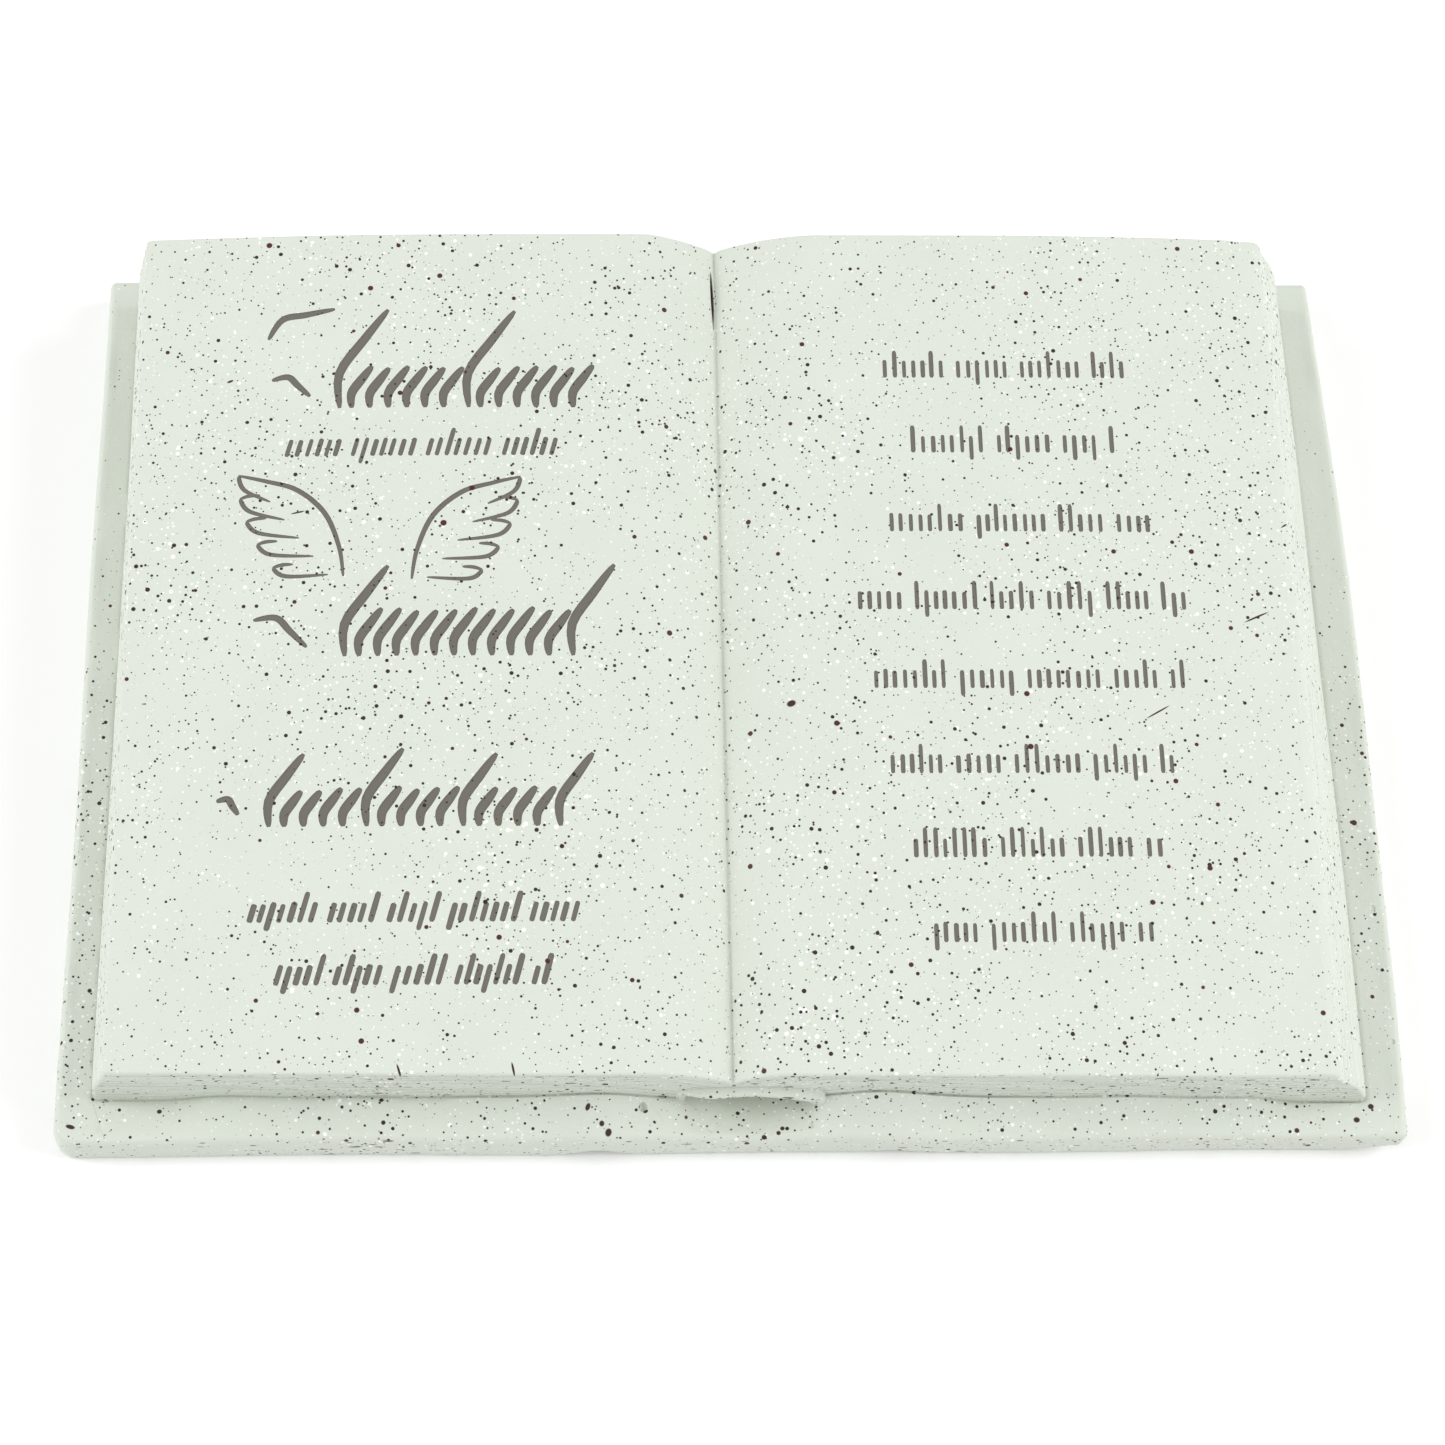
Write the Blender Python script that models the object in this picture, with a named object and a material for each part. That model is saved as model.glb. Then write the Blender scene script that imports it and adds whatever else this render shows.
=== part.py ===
"""Open book memorial: one stone-effect resin casting of an open book that lies flat.

A thin hard cover lies on the ground. The page block on it is thicker towards the head of
the book, so both pages slope towards the reader. The fore-edges fan outwards to their foot
and carry page lines, and the pages roll down into a gutter. At the reader's edge the cover
swells up to the block, most of all beside the spine, where the block's back stands clear in
a small arch over a hollow.

Axes: +X across both pages, +Y from the reader's edge to the head of the book, +Z up.
The origin is the middle of the footprint, on the ground. Metres throughout.
"""

import math

import bmesh
import bpy

# Cover: outline, thickness, the round at its corners and along its upper and lower edges
COVER_WIDTH = 0.205
COVER_DEPTH = 0.1528
COVER_THICK = 0.007
CORNER_FRONT_LEFT = 0.0030
CORNER_FRONT_RIGHT = 0.0012
CORNER_BACK_RIGHT = 0.0012
CORNER_BACK_LEFT = 0.0014
LEAST_CORNER = 0.0002
SIDE_BOW = 0.0013
BLOCK_BOW_SHARE = 0.3
BLOCK_SET_BACK = 0.0013
COVER_ARRIS = 0.0011
ARRIS_DROP_LEFT = 0.0026
ARRIS_DROP_RIGHT = 0.0011
ARRIS_CHANGE_X = 0.01
ARRIS_CHANGE_HALF_WIDTH = 0.03
COVER_UNDER_ROUND = 0.0008

# The underside is cut away in a plane under the front right corner
CORNER_CUT_WIDTH = 0.015
CORNER_CUT_DEPTH = 0.016
CORNER_CUT_HEIGHT = 0.0046
CUT_CLEAR = 0.002

# Swell of the cover up to the foot of the block, along the reader's edge only
SWELL_LEFT = 0.0020
SWELL_RIGHT = 0.0026
SWELL_POWER = 1.5
SWELL_END_CLEAR = 0.0155
SWELL_END_RUN = 0.010
JOINT_SWELL_LEFT = 0.0018
JOINT_SWELL_RIGHT = 0.0024
JOINT_SWELL_HALF_WIDTH = 0.016

# Strip of cover left bare round the foot of the page block, and round its upper edge
FOOT_MARGIN_LEFT = 0.0059
FOOT_MARGIN_RIGHT = 0.0062
FOOT_MARGIN_FRONT = 0.0058
FOOT_MARGIN_BACK = 0.0055
TOP_MARGIN_LEFT = 0.0089
TOP_MARGIN_RIGHT = 0.0123
TOP_MARGIN_FRONT = 0.0055
TOP_MARGIN_BACK = 0.0047

# Page block: height above the cover, corner and edge rounds, and the bulge of its fore-edges
BLOCK_FRONT_HEIGHT = 0.0132
BLOCK_BACK_HEIGHT = 0.0212
BLOCK_CORNER = 0.0007
PAGE_EDGE_ROUND = 0.0006
RIGHT_EDGE_ROUND = 0.002
RIGHT_ROUND_REACH = 0.006
FAN_POWER = 1.7
PAGE_LINES = 5
PAGE_LINE_DEPTH = 0.0004
LEAF_TOP = 0.55
LINE_PLACE = 0.95

# Gutter between the pages, and how far each side of it rolls
GUTTER_X = -0.0005
GUTTER_DEPTH_FRONT = 0.0036
GUTTER_DEPTH_BACK = 0.0052
LEFT_ROLL_FRONT = 0.0105
LEFT_ROLL_BACK = 0.0115
RIGHT_ROLL_FRONT = 0.0085
RIGHT_ROLL_BACK = 0.0175
LEFT_ROLL_POWER = 1.4
RIGHT_ROLL_POWER = 1.9

# The outer parts of the pages sag at the head of the book, beyond a crest along each page
LEFT_SAG = 0.0024
RIGHT_SAG = 0.0017
LEFT_SAG_POWER = 1.6
RIGHT_SAG_POWER = 3.0
CREST_SHARE = 0.42

# Arch of the block's back over the spine, the hollow under it and the channel in the cover
ARCH_X = 0.0024
ARCH_HALF_SPAN = 0.0112
ARCH_RISE = 0.0069
ARCH_THICK = 0.0015
ARCH_STAND_OUT = 0.0015
ARCH_ROOT = 0.003
ARCH_LEG = 0.0022
ARCH_FOOT = 0.0038
HOLLOW_DEPTH = 0.0016
CHANNEL_HALF_WIDTH = 0.0098
CHANNEL_DEPTH = 0.0018
CHANNEL_RUN_OUT = 0.3
CHANNEL_WALL_START = 0.0082
CHANNEL_SHOULDER = 0.003
FRONT_STRIP_REACH = 1.5

# Underside: a shallow joint groove along the cover on each side of its spine
JOINT_LEFT_X = -0.0205
JOINT_RIGHT_X = 0.0245
JOINT_HALF_WIDTH = 0.0065
JOINT_LEFT_DEPTH = 0.002
JOINT_RIGHT_DEPTH = 0.001

# Shallow strokes in rows in the place of an inscription; they stand for no letters
STROKE_DEPTH = 0.0004
STROKE_CLEAR = 0.002
STROKE_THICK = 0.0007
STROKE_PITCH = 0.0028
SHORT_STROKE = 0.0028
TALL_STROKE = 0.0046
TEXT_SLANT = 0.22
SCRIPT_THICK = 0.0014
SCRIPT_PITCH = 0.0052
SCRIPT_SHORT = 0.0085
SCRIPT_TALL = 0.0165
SCRIPT_SLANT = 0.5
WING_SPAN = 0.0165
WING_HEIGHT = 0.0165
WING_GAP = 0.0052
WING_SEGMENT_GAP_DEG = 3.0
FEATHERS = 5
FEATHER_ROOT_ACROSS = 0.3
FEATHER_ROOT_UP = 0.72
FEATHER_TIP_NEAR = 0.55
FEATHER_TIP_FAR = 0.95
FEATHER_TIP_UP = 0.85

# Places and widths of the rows, as shares of a page's depth and width from its middle, and
# after how many strokes a row leaves a gap
ROW_CENTRE = 0.51
RIGHT_ROWS = 8
RIGHT_FIRST_ROW = 0.315
RIGHT_ROW_STEP = 0.095
RIGHT_ROW_WIDTH = 0.45
RIGHT_ROW_CHANGE = 0.10
RIGHT_GROUPS = (4, 5, 6)
SCRIPT_ROWS = ((0.275, 4), (-0.025, 5), (-0.22, 6))
SCRIPT_WIDTH = 0.50
SMALL_ROW = 0.215
SMALL_ROW_GROUP = 4
SMALL_ROW_WIDTH = 0.46
WING_ROW = 0.075
LOW_ROWS = 2
LOW_FIRST_ROW = -0.325
LOW_ROW_STEP = 0.07
LOW_ROW_WIDTH = 0.52
LOW_ROW_GROUP = 5

# Mesh: stations along the edges of every ring
STATION_PITCH = 0.0025
MID_HALF_WIDTH = 0.03
OUTER_STATIONS = 6
SIDE_STATIONS = 10
ARC_STEPS = 2
ARCH_STEPS = 12

RESIN_COLOUR = (0.76, 0.80, 0.72, 1.0)
RESIN_ROUGHNESS = 0.6

COVER_BOX = (-COVER_WIDTH / 2, COVER_WIDTH / 2, -COVER_DEPTH / 2, COVER_DEPTH / 2)
COVER_CORNERS = (CORNER_FRONT_LEFT, CORNER_FRONT_RIGHT, CORNER_BACK_RIGHT, CORNER_BACK_LEFT)
BLOCK_CORNERS = (BLOCK_CORNER, BLOCK_CORNER, BLOCK_CORNER, BLOCK_CORNER)
FOOT_MARGINS = (FOOT_MARGIN_LEFT, FOOT_MARGIN_RIGHT, FOOT_MARGIN_FRONT, FOOT_MARGIN_BACK)
TOP_MARGINS = (TOP_MARGIN_LEFT, TOP_MARGIN_RIGHT, TOP_MARGIN_FRONT, TOP_MARGIN_BACK)


def mix(low, high, share):
    return low + (high - low) * share


def inset(box, margins):
    left, right, front, back = margins
    return (box[0] + left, box[1] - right, box[2] + front, box[3] - back)


FOOT_BOX = inset(COVER_BOX, FOOT_MARGINS)
PAGE_BOX = inset(COVER_BOX, TOP_MARGINS)


def bump(distance, half_width):
    """Smooth bump: 1 at the middle, 0 from half_width on."""
    share = min(abs(distance) / half_width, 1.0)
    return 0.5 * (1 + math.cos(math.pi * share))


def underside(x):
    left = JOINT_LEFT_DEPTH * bump(x - JOINT_LEFT_X, JOINT_HALF_WIDTH)
    right = JOINT_RIGHT_DEPTH * bump(x - JOINT_RIGHT_X, JOINT_HALF_WIDTH)
    return left + right


def clamp(value):
    return min(max(value, 0.0), 1.0)


def swell(x):
    """Height of the cover's swell at the foot of the block: none at the ends and the channel."""
    side, joint_x, joint_swell = SWELL_LEFT, JOINT_LEFT_X, JOINT_SWELL_LEFT
    if x > ARCH_X:
        side, joint_x, joint_swell = SWELL_RIGHT, JOINT_RIGHT_X, JOINT_SWELL_RIGHT
    ends = clamp((COVER_WIDTH / 2 - abs(x) - SWELL_END_CLEAR) / SWELL_END_RUN)
    middle = clamp((abs(x - ARCH_X) - CHANNEL_WALL_START) / CHANNEL_SHOULDER)
    return ends * middle * (side + joint_swell * bump(x - joint_x, JOINT_SWELL_HALF_WIDTH))


def cover_top(x, y):
    """Upper face of the cover, with the swell and the channel of its front strip."""
    share = (y - COVER_BOX[2]) / FOOT_MARGIN_FRONT
    if share > FRONT_STRIP_REACH:
        return COVER_THICK
    depth = CHANNEL_DEPTH * mix(CHANNEL_RUN_OUT, 1.0, clamp(share))
    channel = depth * bump(x - ARCH_X, CHANNEL_HALF_WIDTH)
    return COVER_THICK - channel + swell(x) * clamp(share) ** SWELL_POWER


def arris_drop(x):
    """Height of the round along the cover's upper edge: larger on the left."""
    share = clamp(0.5 + (x - ARRIS_CHANGE_X) / (2 * ARRIS_CHANGE_HALF_WIDTH))
    return mix(ARRIS_DROP_LEFT, ARRIS_DROP_RIGHT, share)


def page_height(x, y):
    """Height of the page surface above the ground."""
    along = (y - PAGE_BOX[2]) / (PAGE_BOX[3] - PAGE_BOX[2])
    off = abs(x - GUTTER_X)
    if x < GUTTER_X:
        reach = GUTTER_X - PAGE_BOX[0]
        roll = mix(LEFT_ROLL_FRONT, LEFT_ROLL_BACK, along)
        roll_power, sag, sag_power = LEFT_ROLL_POWER, LEFT_SAG, LEFT_SAG_POWER
    else:
        reach = PAGE_BOX[1] - GUTTER_X
        roll = mix(RIGHT_ROLL_FRONT, RIGHT_ROLL_BACK, along)
        roll_power, sag, sag_power = RIGHT_ROLL_POWER, RIGHT_SAG, RIGHT_SAG_POWER
    valley = mix(GUTTER_DEPTH_FRONT, GUTTER_DEPTH_BACK, along)
    valley *= max(0.0, 1 - off / roll) ** roll_power
    past_crest = max(0.0, off / reach - CREST_SHARE) / (1 - CREST_SHARE)
    rise = mix(BLOCK_FRONT_HEIGHT, BLOCK_BACK_HEIGHT, along)
    return COVER_THICK + rise - valley - sag * along * past_crest ** sag_power


def stations(low, high):
    """Places along the front or back edge, between the corner rounds.

    They keep their place near the gutter on every ring and spread over the rest."""
    half = round(MID_HALF_WIDTH / STATION_PITCH)
    middle = [GUTTER_X + k * STATION_PITCH for k in range(-half, half + 1)]
    steps = range(OUTER_STATIONS)
    left = [mix(low, middle[0], k / OUTER_STATIONS) for k in steps]
    right = [mix(high, middle[-1], k / OUTER_STATIONS) for k in steps]
    return left + middle + right[::-1]


def arc(centre_x, centre_y, radius, start_deg, end_deg, steps):
    """Points after the start of an arc, up to and with its end."""
    points = []
    for k in range(1, steps + 1):
        turn = math.radians(mix(start_deg, end_deg, k / steps))
        points.append((centre_x + radius * math.cos(turn), centre_y + radius * math.sin(turn)))
    return points


def smaller(corners, offset):
    """Corner radii of a ring that lies inside by the offset."""
    return [max(radius - offset, LEAST_CORNER) for radius in corners]


def ring_sides(box, corners, bow, set_back):
    """The four sides of a rounded rectangle, each from corner middle to corner middle.

    Front and back run towards +X, left and right towards +Y. The right side bows outwards and
    the front left corner is set back."""
    x0, x1, y0, y1 = box
    front_left, front_right, back_right, back_left = corners

    def spread(low, high):
        return [mix(low, high, k / SIDE_STATIONS) for k in range(SIDE_STATIONS + 1)]

    def bowed(point):
        off = (2 * point[1] - y0 - y1) / (y1 - y0)
        return (point[0] + bow * (1 - off * off), point[1])

    def placed(side):
        share_x = [(x - x0) / (x1 - x0) for x, y in side]
        share_y = [(y - y0) / (y1 - y0) for x, y in side]
        return [(x, y + set_back * (1 - u) * (1 - v)) for (x, y), u, v in zip(side, share_x, share_y)]

    def at_front_left(start_deg, end_deg):
        return arc(x0 + front_left, y0 + front_left, front_left, start_deg, end_deg, ARC_STEPS)

    def at_front_right(start_deg, end_deg):
        return arc(x1 - front_right, y0 + front_right, front_right, start_deg, end_deg, ARC_STEPS)

    def at_back_left(start_deg, end_deg):
        return arc(x0 + back_left, y1 - back_left, back_left, start_deg, end_deg, ARC_STEPS)

    def at_back_right(start_deg, end_deg):
        return arc(x1 - back_right, y1 - back_right, back_right, start_deg, end_deg, ARC_STEPS)

    near = [(x, y0) for x in stations(x0 + front_left, x1 - front_right)]
    far = [(x, y1) for x in stations(x0 + back_left, x1 - back_right)]
    left = [(x0, y) for y in spread(y0 + front_left, y1 - back_left)]
    right = [(x1, y) for y in spread(y0 + front_right, y1 - back_right)]
    front_side = at_front_left(270, 225)[::-1] + near + at_front_right(270, 315)
    back_side = at_back_left(90, 135)[::-1] + far + at_back_right(90, 45)
    left_side = at_front_left(180, 225)[::-1] + left + at_back_left(180, 135)
    right_side = at_front_right(0, -45)[::-1] + right + at_back_right(0, 45)
    right_side = [bowed(point) for point in right_side]
    return placed(front_side), placed(right_side), placed(back_side), placed(left_side)


def loop_of(sides):
    """One closed loop of points, counter-clockwise seen from above."""
    front, right, back, left = sides
    return front[:-1] + right[:-1] + back[:0:-1] + left[:0:-1]


def cover_loop(offset):
    return loop_of(ring_sides(inset(COVER_BOX, [offset] * 4), smaller(COVER_CORNERS, offset), SIDE_BOW, 0.0))


def cover_rings():
    """Rings of the cover, from the underside to the strip left bare round the block."""
    under = COVER_UNDER_ROUND
    rings = []
    for offset, height in ((under, 0.0), (0.0, under)):
        loop = cover_loop(offset)
        rings.append([(x, y, underside(x) + height) for x, y in loop])
    for turn_deg in (0, 45, 90):
        turn = math.radians(turn_deg)
        offset = COVER_ARRIS * (1 - math.cos(turn))
        drop = 1 - math.sin(turn)
        loop = cover_loop(offset)
        rings.append([(x, y, cover_top(x, y) - drop * arris_drop(x)) for x, y in loop])
    halfway = [mix(COVER_ARRIS, foot, 0.5) for foot in FOOT_MARGINS]
    corners = [mix(radius, BLOCK_CORNER, 0.5) for radius in smaller(COVER_CORNERS, COVER_ARRIS)]
    bow = SIDE_BOW * mix(1.0, BLOCK_BOW_SHARE, 0.5)
    loop = loop_of(ring_sides(inset(COVER_BOX, halfway), corners, bow, BLOCK_SET_BACK / 2))
    rings.append([(x, y, cover_top(x, y)) for x, y in loop])
    return rings


def edge_round(x, box):
    """Radius of the round along the page edge: it grows towards the right fore-edge."""
    near_right = max(0.0, 1 - (box[1] - x) / RIGHT_ROUND_REACH)
    return mix(PAGE_EDGE_ROUND, RIGHT_EDGE_ROUND, min(near_right, 1.0))


def edge_margins(share):
    """Set-in of the left, right, front and back edges for a share of their rounds."""
    left = PAGE_EDGE_ROUND * share
    return (left, RIGHT_EDGE_ROUND * share, left, left)


def hollow(x, height):
    """How far the front of the block is set back under the arch."""
    across = (x - ARCH_X) / (ARCH_HALF_SPAN - ARCH_THICK)
    up = height / (ARCH_RISE - ARCH_THICK)
    return HOLLOW_DEPTH * math.sqrt(max(0.0, 1 - across * across - up * up))


def block_ring(share, set_in=(0.0, 0.0, 0.0, 0.0), drop=1.0):
    """Ring of the block at a share of its height, set in from the fan of its edges.

    The drop is the share of the page edge's round that the ring stays below the page."""
    fan = share ** FAN_POWER
    margins = [mix(*ends, fan) + extra for *ends, extra in zip(FOOT_MARGINS, TOP_MARGINS, set_in)]
    box = inset(COVER_BOX, margins)
    ring = []
    for x, y in loop_of(ring_sides(box, BLOCK_CORNERS, BLOCK_BOW_SHARE * SIDE_BOW, BLOCK_SET_BACK)):
        foot = cover_top(x, y)
        top = page_height(x, y) - edge_round(x, box)
        height = share * (top - foot) + (1 - drop) * edge_round(x, box)
        if y < box[2] + BLOCK_SET_BACK:
            y += hollow(x, height)
        ring.append((x, y, foot + height))
    return ring


def block_rings():
    """Rings of the block from its foot to the edge of the pages, grooved by page lines."""
    rings = [block_ring(0.0)]
    for line in range(PAGE_LINES):
        rings.append(block_ring((line + LEAF_TOP) / PAGE_LINES))
        if line < PAGE_LINES - 1:
            rings.append(block_ring((line + LINE_PLACE) / PAGE_LINES, [PAGE_LINE_DEPTH] * 4))
    for turn_deg in (0, 45, 90):
        turn = math.radians(turn_deg)
        rings.append(block_ring(1.0, edge_margins(1 - math.cos(turn)), 1 - math.sin(turn)))
    return rings


def page_grid():
    """Rows of page points inside the edge ring, spread from its four sides."""
    margins = [top + extra for top, extra in zip(TOP_MARGINS, edge_margins(1.0))]
    bow = BLOCK_BOW_SHARE * SIDE_BOW
    front, right, back, left = ring_sides(inset(COVER_BOX, margins), BLOCK_CORNERS, bow, BLOCK_SET_BACK)
    rows = []
    for j in range(1, len(left) - 1):
        v = (left[j][1] - left[0][1]) / (left[-1][1] - left[0][1])
        row = []
        for i in range(1, len(front) - 1):
            u = (front[i][0] - front[0][0]) / (front[-1][0] - front[0][0])
            point = []
            for axis in (0, 1):
                sides = mix(front[i][axis], back[i][axis], v) + mix(left[j][axis], right[j][axis], u)
                low = mix(front[0][axis], front[-1][axis], u)
                high = mix(back[0][axis], back[-1][axis], u)
                point.append(sides - mix(low, high, v))
            row.append((point[0], point[1], page_height(*point)))
        rows.append(row)
    return rows


def add_point(mesh, point):
    """A vertex, moved so that the bowed cover's box is centred on the origin."""
    return mesh.verts.new((point[0] - SIDE_BOW / 2, point[1], point[2]))


def build_casting():
    """Cover and page block as one closed skin of rings, page grid and underside."""
    mesh = bmesh.new()
    loops = [[add_point(mesh, point) for point in ring] for ring in cover_rings() + block_rings()]
    count = len(loops[0])
    for low, high in zip(loops, loops[1:]):
        for k in range(count):
            after = (k + 1) % count
            mesh.faces.new((low[k], low[after], high[after], high[k]))

    front, right, back, left = (len(side) - 1 for side in ring_sides(COVER_BOX, COVER_CORNERS, 0.0, 0.0))
    edge = loops[-1]
    rows = [[add_point(mesh, point) for point in row] for row in page_grid()]
    grid = [edge[:front + 1]]
    for j, row in enumerate(rows, start=1):
        grid.append([edge[-j]] + row + [edge[front + j]])
    grid.append(edge[front + right:front + right + back + 1][::-1])
    for low, high in zip(grid, grid[1:]):
        for k in range(len(low) - 1):
            mesh.faces.new((low[k], low[k + 1], high[k + 1], high[k]))

    foot = loops[0]
    near = foot[:front + 1]
    far = foot[front + right:front + right + back + 1][::-1]
    for k in range(1, front - 1):
        mesh.faces.new((near[k + 1], near[k], far[k], far[k + 1]))
    mesh.faces.new([near[1], near[0]] + foot[:count - left:-1] + [far[0], far[1]])
    mesh.faces.new([near[-1], near[-2], far[-2], far[-1]] + foot[front + 1:front + right][::-1])

    bmesh.ops.triangulate(mesh, faces=mesh.faces[:])
    bmesh.ops.recalc_face_normals(mesh, faces=mesh.faces[:])
    return finish(mesh, "open_book")


def finish(mesh, name):
    data = bpy.data.meshes.new(name)
    mesh.to_mesh(data)
    mesh.free()
    thing = bpy.data.objects.new(name, data)
    bpy.context.scene.collection.objects.link(thing)
    return thing


def add_prism(mesh, lower, upper):
    """Closed prism between two matching outlines."""
    low = [add_point(mesh, point) for point in lower]
    high = [add_point(mesh, point) for point in upper]
    mesh.faces.new(low[::-1])
    mesh.faces.new(high)
    for k in range(len(low)):
        after = (k + 1) % len(low)
        mesh.faces.new((low[k], low[after], high[after], high[k]))


def build_arch():
    """Arched strip that stands out of the block's front over the spine."""
    outline = []
    for shrink, order in ((0.0, 1), (ARCH_THICK, -1)):
        half = ARCH_HALF_SPAN - shrink
        foot = ARCH_FOOT - shrink
        side = [(half, -ARCH_LEG)]
        for k in range(ARCH_STEPS + 1):
            turn = math.pi * k / ARCH_STEPS
            side.append((half * math.cos(turn), foot + (ARCH_RISE - ARCH_FOOT) * math.sin(turn)))
        side.append((-half, -ARCH_LEG))
        outline += side[::order]
    front = FOOT_BOX[2] + BLOCK_SET_BACK / 2 - ARCH_STAND_OUT
    back = FOOT_BOX[2] + ARCH_ROOT
    mesh = bmesh.new()
    near = [(ARCH_X + x, front, COVER_THICK + z) for x, z in outline]
    far = [(ARCH_X + x, back, COVER_THICK + z) for x, z in outline]
    add_prism(mesh, near, far)
    bmesh.ops.recalc_face_normals(mesh, faces=mesh.faces[:])
    return finish(mesh, "spine_arch")


def build_corner_cut():
    """Cutter below the plane that rises to the cover's front right corner."""
    right, front = COVER_BOX[1], COVER_BOX[2]
    outline = [
        (right - CORNER_CUT_WIDTH, front - CUT_CLEAR, 0.0),
        (right + CUT_CLEAR, front - CUT_CLEAR, CORNER_CUT_HEIGHT),
        (right + CUT_CLEAR, front + CORNER_CUT_DEPTH, 0.0),
    ]
    mesh = bmesh.new()
    add_prism(mesh, [(x, y, -CUT_CLEAR) for x, y, z in outline], outline)
    bmesh.ops.recalc_face_normals(mesh, faces=mesh.faces[:])
    return finish(mesh, "corner_cut")


def add_stroke(mesh, start, end, thick):
    """Cutter for one straight shallow stroke from start to end on the page."""
    dx = end[0] - start[0]
    dy = end[1] - start[1]
    length = math.hypot(dx, dy)
    side_x = -dy / length * thick / 2
    side_y = dx / length * thick / 2
    outline = [
        (start[0] + side_x, start[1] + side_y),
        (start[0] - side_x, start[1] - side_y),
        (end[0] - side_x, end[1] - side_y),
        (end[0] + side_x, end[1] + side_y),
    ]
    lower = [(x, y, page_height(x, y) - STROKE_DEPTH) for x, y in outline]
    upper = [(x, y, page_height(x, y) + STROKE_CLEAR) for x, y in outline]
    add_prism(mesh, lower, upper)


def stroke_row(mesh, centre_x, y, width, pitch, heights, thick, slant, group):
    """Row of parallel strokes of two heights, with a gap after every group of them."""
    count = round(width / pitch)
    for k in range(count):
        if (k + 1) % group == 0:
            continue
        x = centre_x + (k - (count - 1) / 2) * pitch
        height = heights[(k * k + k) % group == 0]
        add_stroke(mesh, (x, y), (x + slant * height, y + height), thick)


def text_row(mesh, centre_x, y, width, group, slant=0.0):
    heights = (SHORT_STROKE, TALL_STROKE)
    stroke_row(mesh, centre_x, y, width, STROKE_PITCH, heights, STROKE_THICK, slant, group)


def script_row(mesh, centre_x, y, width, group):
    heights = (SCRIPT_SHORT, SCRIPT_TALL)
    stroke_row(mesh, centre_x, y, width, SCRIPT_PITCH, heights, SCRIPT_THICK, SCRIPT_SLANT, group)


def wing(mesh, root_x, root_y, side):
    """Spread wing: a bowed leading edge over a fan of feather strokes."""

    def at(across, up):
        return (root_x + side * WING_SPAN * across, root_y + WING_HEIGHT * up)

    def place(turn_deg):
        turn = math.radians(turn_deg)
        return at(1 - math.cos(turn), math.sin(turn))

    for k in range(FEATHERS):
        turn_deg = 90 * k / FEATHERS
        after_deg = 90 * (k + 1) / FEATHERS - WING_SEGMENT_GAP_DEG
        add_stroke(mesh, place(turn_deg), place(after_deg), STROKE_THICK)
    for k in range(1, FEATHERS):
        share = k / FEATHERS
        tip_across = mix(FEATHER_TIP_NEAR, FEATHER_TIP_FAR, share)
        start = at(FEATHER_ROOT_ACROSS * share, FEATHER_ROOT_UP * share)
        add_stroke(mesh, start, at(tip_across, FEATHER_TIP_UP * share), STROKE_THICK)


def build_strokes():
    """Cutters for the rows of strokes on both pages and the pair of wings."""
    mesh = bmesh.new()
    left_page = GUTTER_X - PAGE_BOX[0]
    right_page = PAGE_BOX[1] - GUTTER_X
    depth = PAGE_BOX[3] - PAGE_BOX[2]
    left_x = GUTTER_X - ROW_CENTRE * left_page
    right_x = GUTTER_X + ROW_CENTRE * right_page

    for row in range(RIGHT_ROWS):
        width = right_page * (RIGHT_ROW_WIDTH + RIGHT_ROW_CHANGE * math.sin(row))
        y = depth * (RIGHT_FIRST_ROW - RIGHT_ROW_STEP * row)
        text_row(mesh, right_x, y, width, RIGHT_GROUPS[row % len(RIGHT_GROUPS)])
    for share, group in SCRIPT_ROWS:
        script_row(mesh, left_x, depth * share, left_page * SCRIPT_WIDTH, group)
    y = depth * SMALL_ROW
    text_row(mesh, left_x, y, left_page * SMALL_ROW_WIDTH, SMALL_ROW_GROUP, TEXT_SLANT)
    for side in (-1, 1):
        wing(mesh, left_x + side * WING_GAP, depth * WING_ROW, side)
    for row in range(LOW_ROWS):
        y = depth * (LOW_FIRST_ROW - LOW_ROW_STEP * row)
        text_row(mesh, left_x, y, left_page * LOW_ROW_WIDTH, LOW_ROW_GROUP, TEXT_SLANT)
    bmesh.ops.recalc_face_normals(mesh, faces=mesh.faces[:])
    return finish(mesh, "inscription_strokes")


def combine(body, other, operation, crossing=False):
    """Join another solid to the body or cut it away; crossing ones may run through themselves."""
    modifier = body.modifiers.new(other.name, "BOOLEAN")
    modifier.operation = operation
    modifier.solver = "EXACT"
    modifier.use_self = crossing
    modifier.object = other
    other.hide_render = True
    other.display_type = "WIRE"


def resin():
    material = bpy.data.materials.new("speckled_resin")
    material.use_nodes = True
    shader = material.node_tree.nodes["Principled BSDF"]
    shader.inputs["Base Color"].default_value = RESIN_COLOUR
    shader.inputs["Roughness"].default_value = RESIN_ROUGHNESS
    shader.inputs["Metallic"].default_value = 0.0
    return material


def main():
    for thing in list(bpy.data.objects):
        bpy.data.objects.remove(thing, do_unlink=True)
    casting = build_casting()
    casting.data.materials.append(resin())
    combine(casting, build_arch(), "UNION")
    combine(casting, build_corner_cut(), "DIFFERENCE")
    combine(casting, build_strokes(), "DIFFERENCE", crossing=True)


main()
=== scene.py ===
"""Open book memorial in stone-effect resin, dressed for the photograph.

The CAD solid open_book is replaced by one fine mesh of the same form. It adds what the
casting shows close up: thin page lines, hand-made waves, bulges over the cover's joints,
bubbles, chips and creases, and rows of shallow painted strokes that are no letters.
"""

import math
import random
from collections import namedtuple

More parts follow.
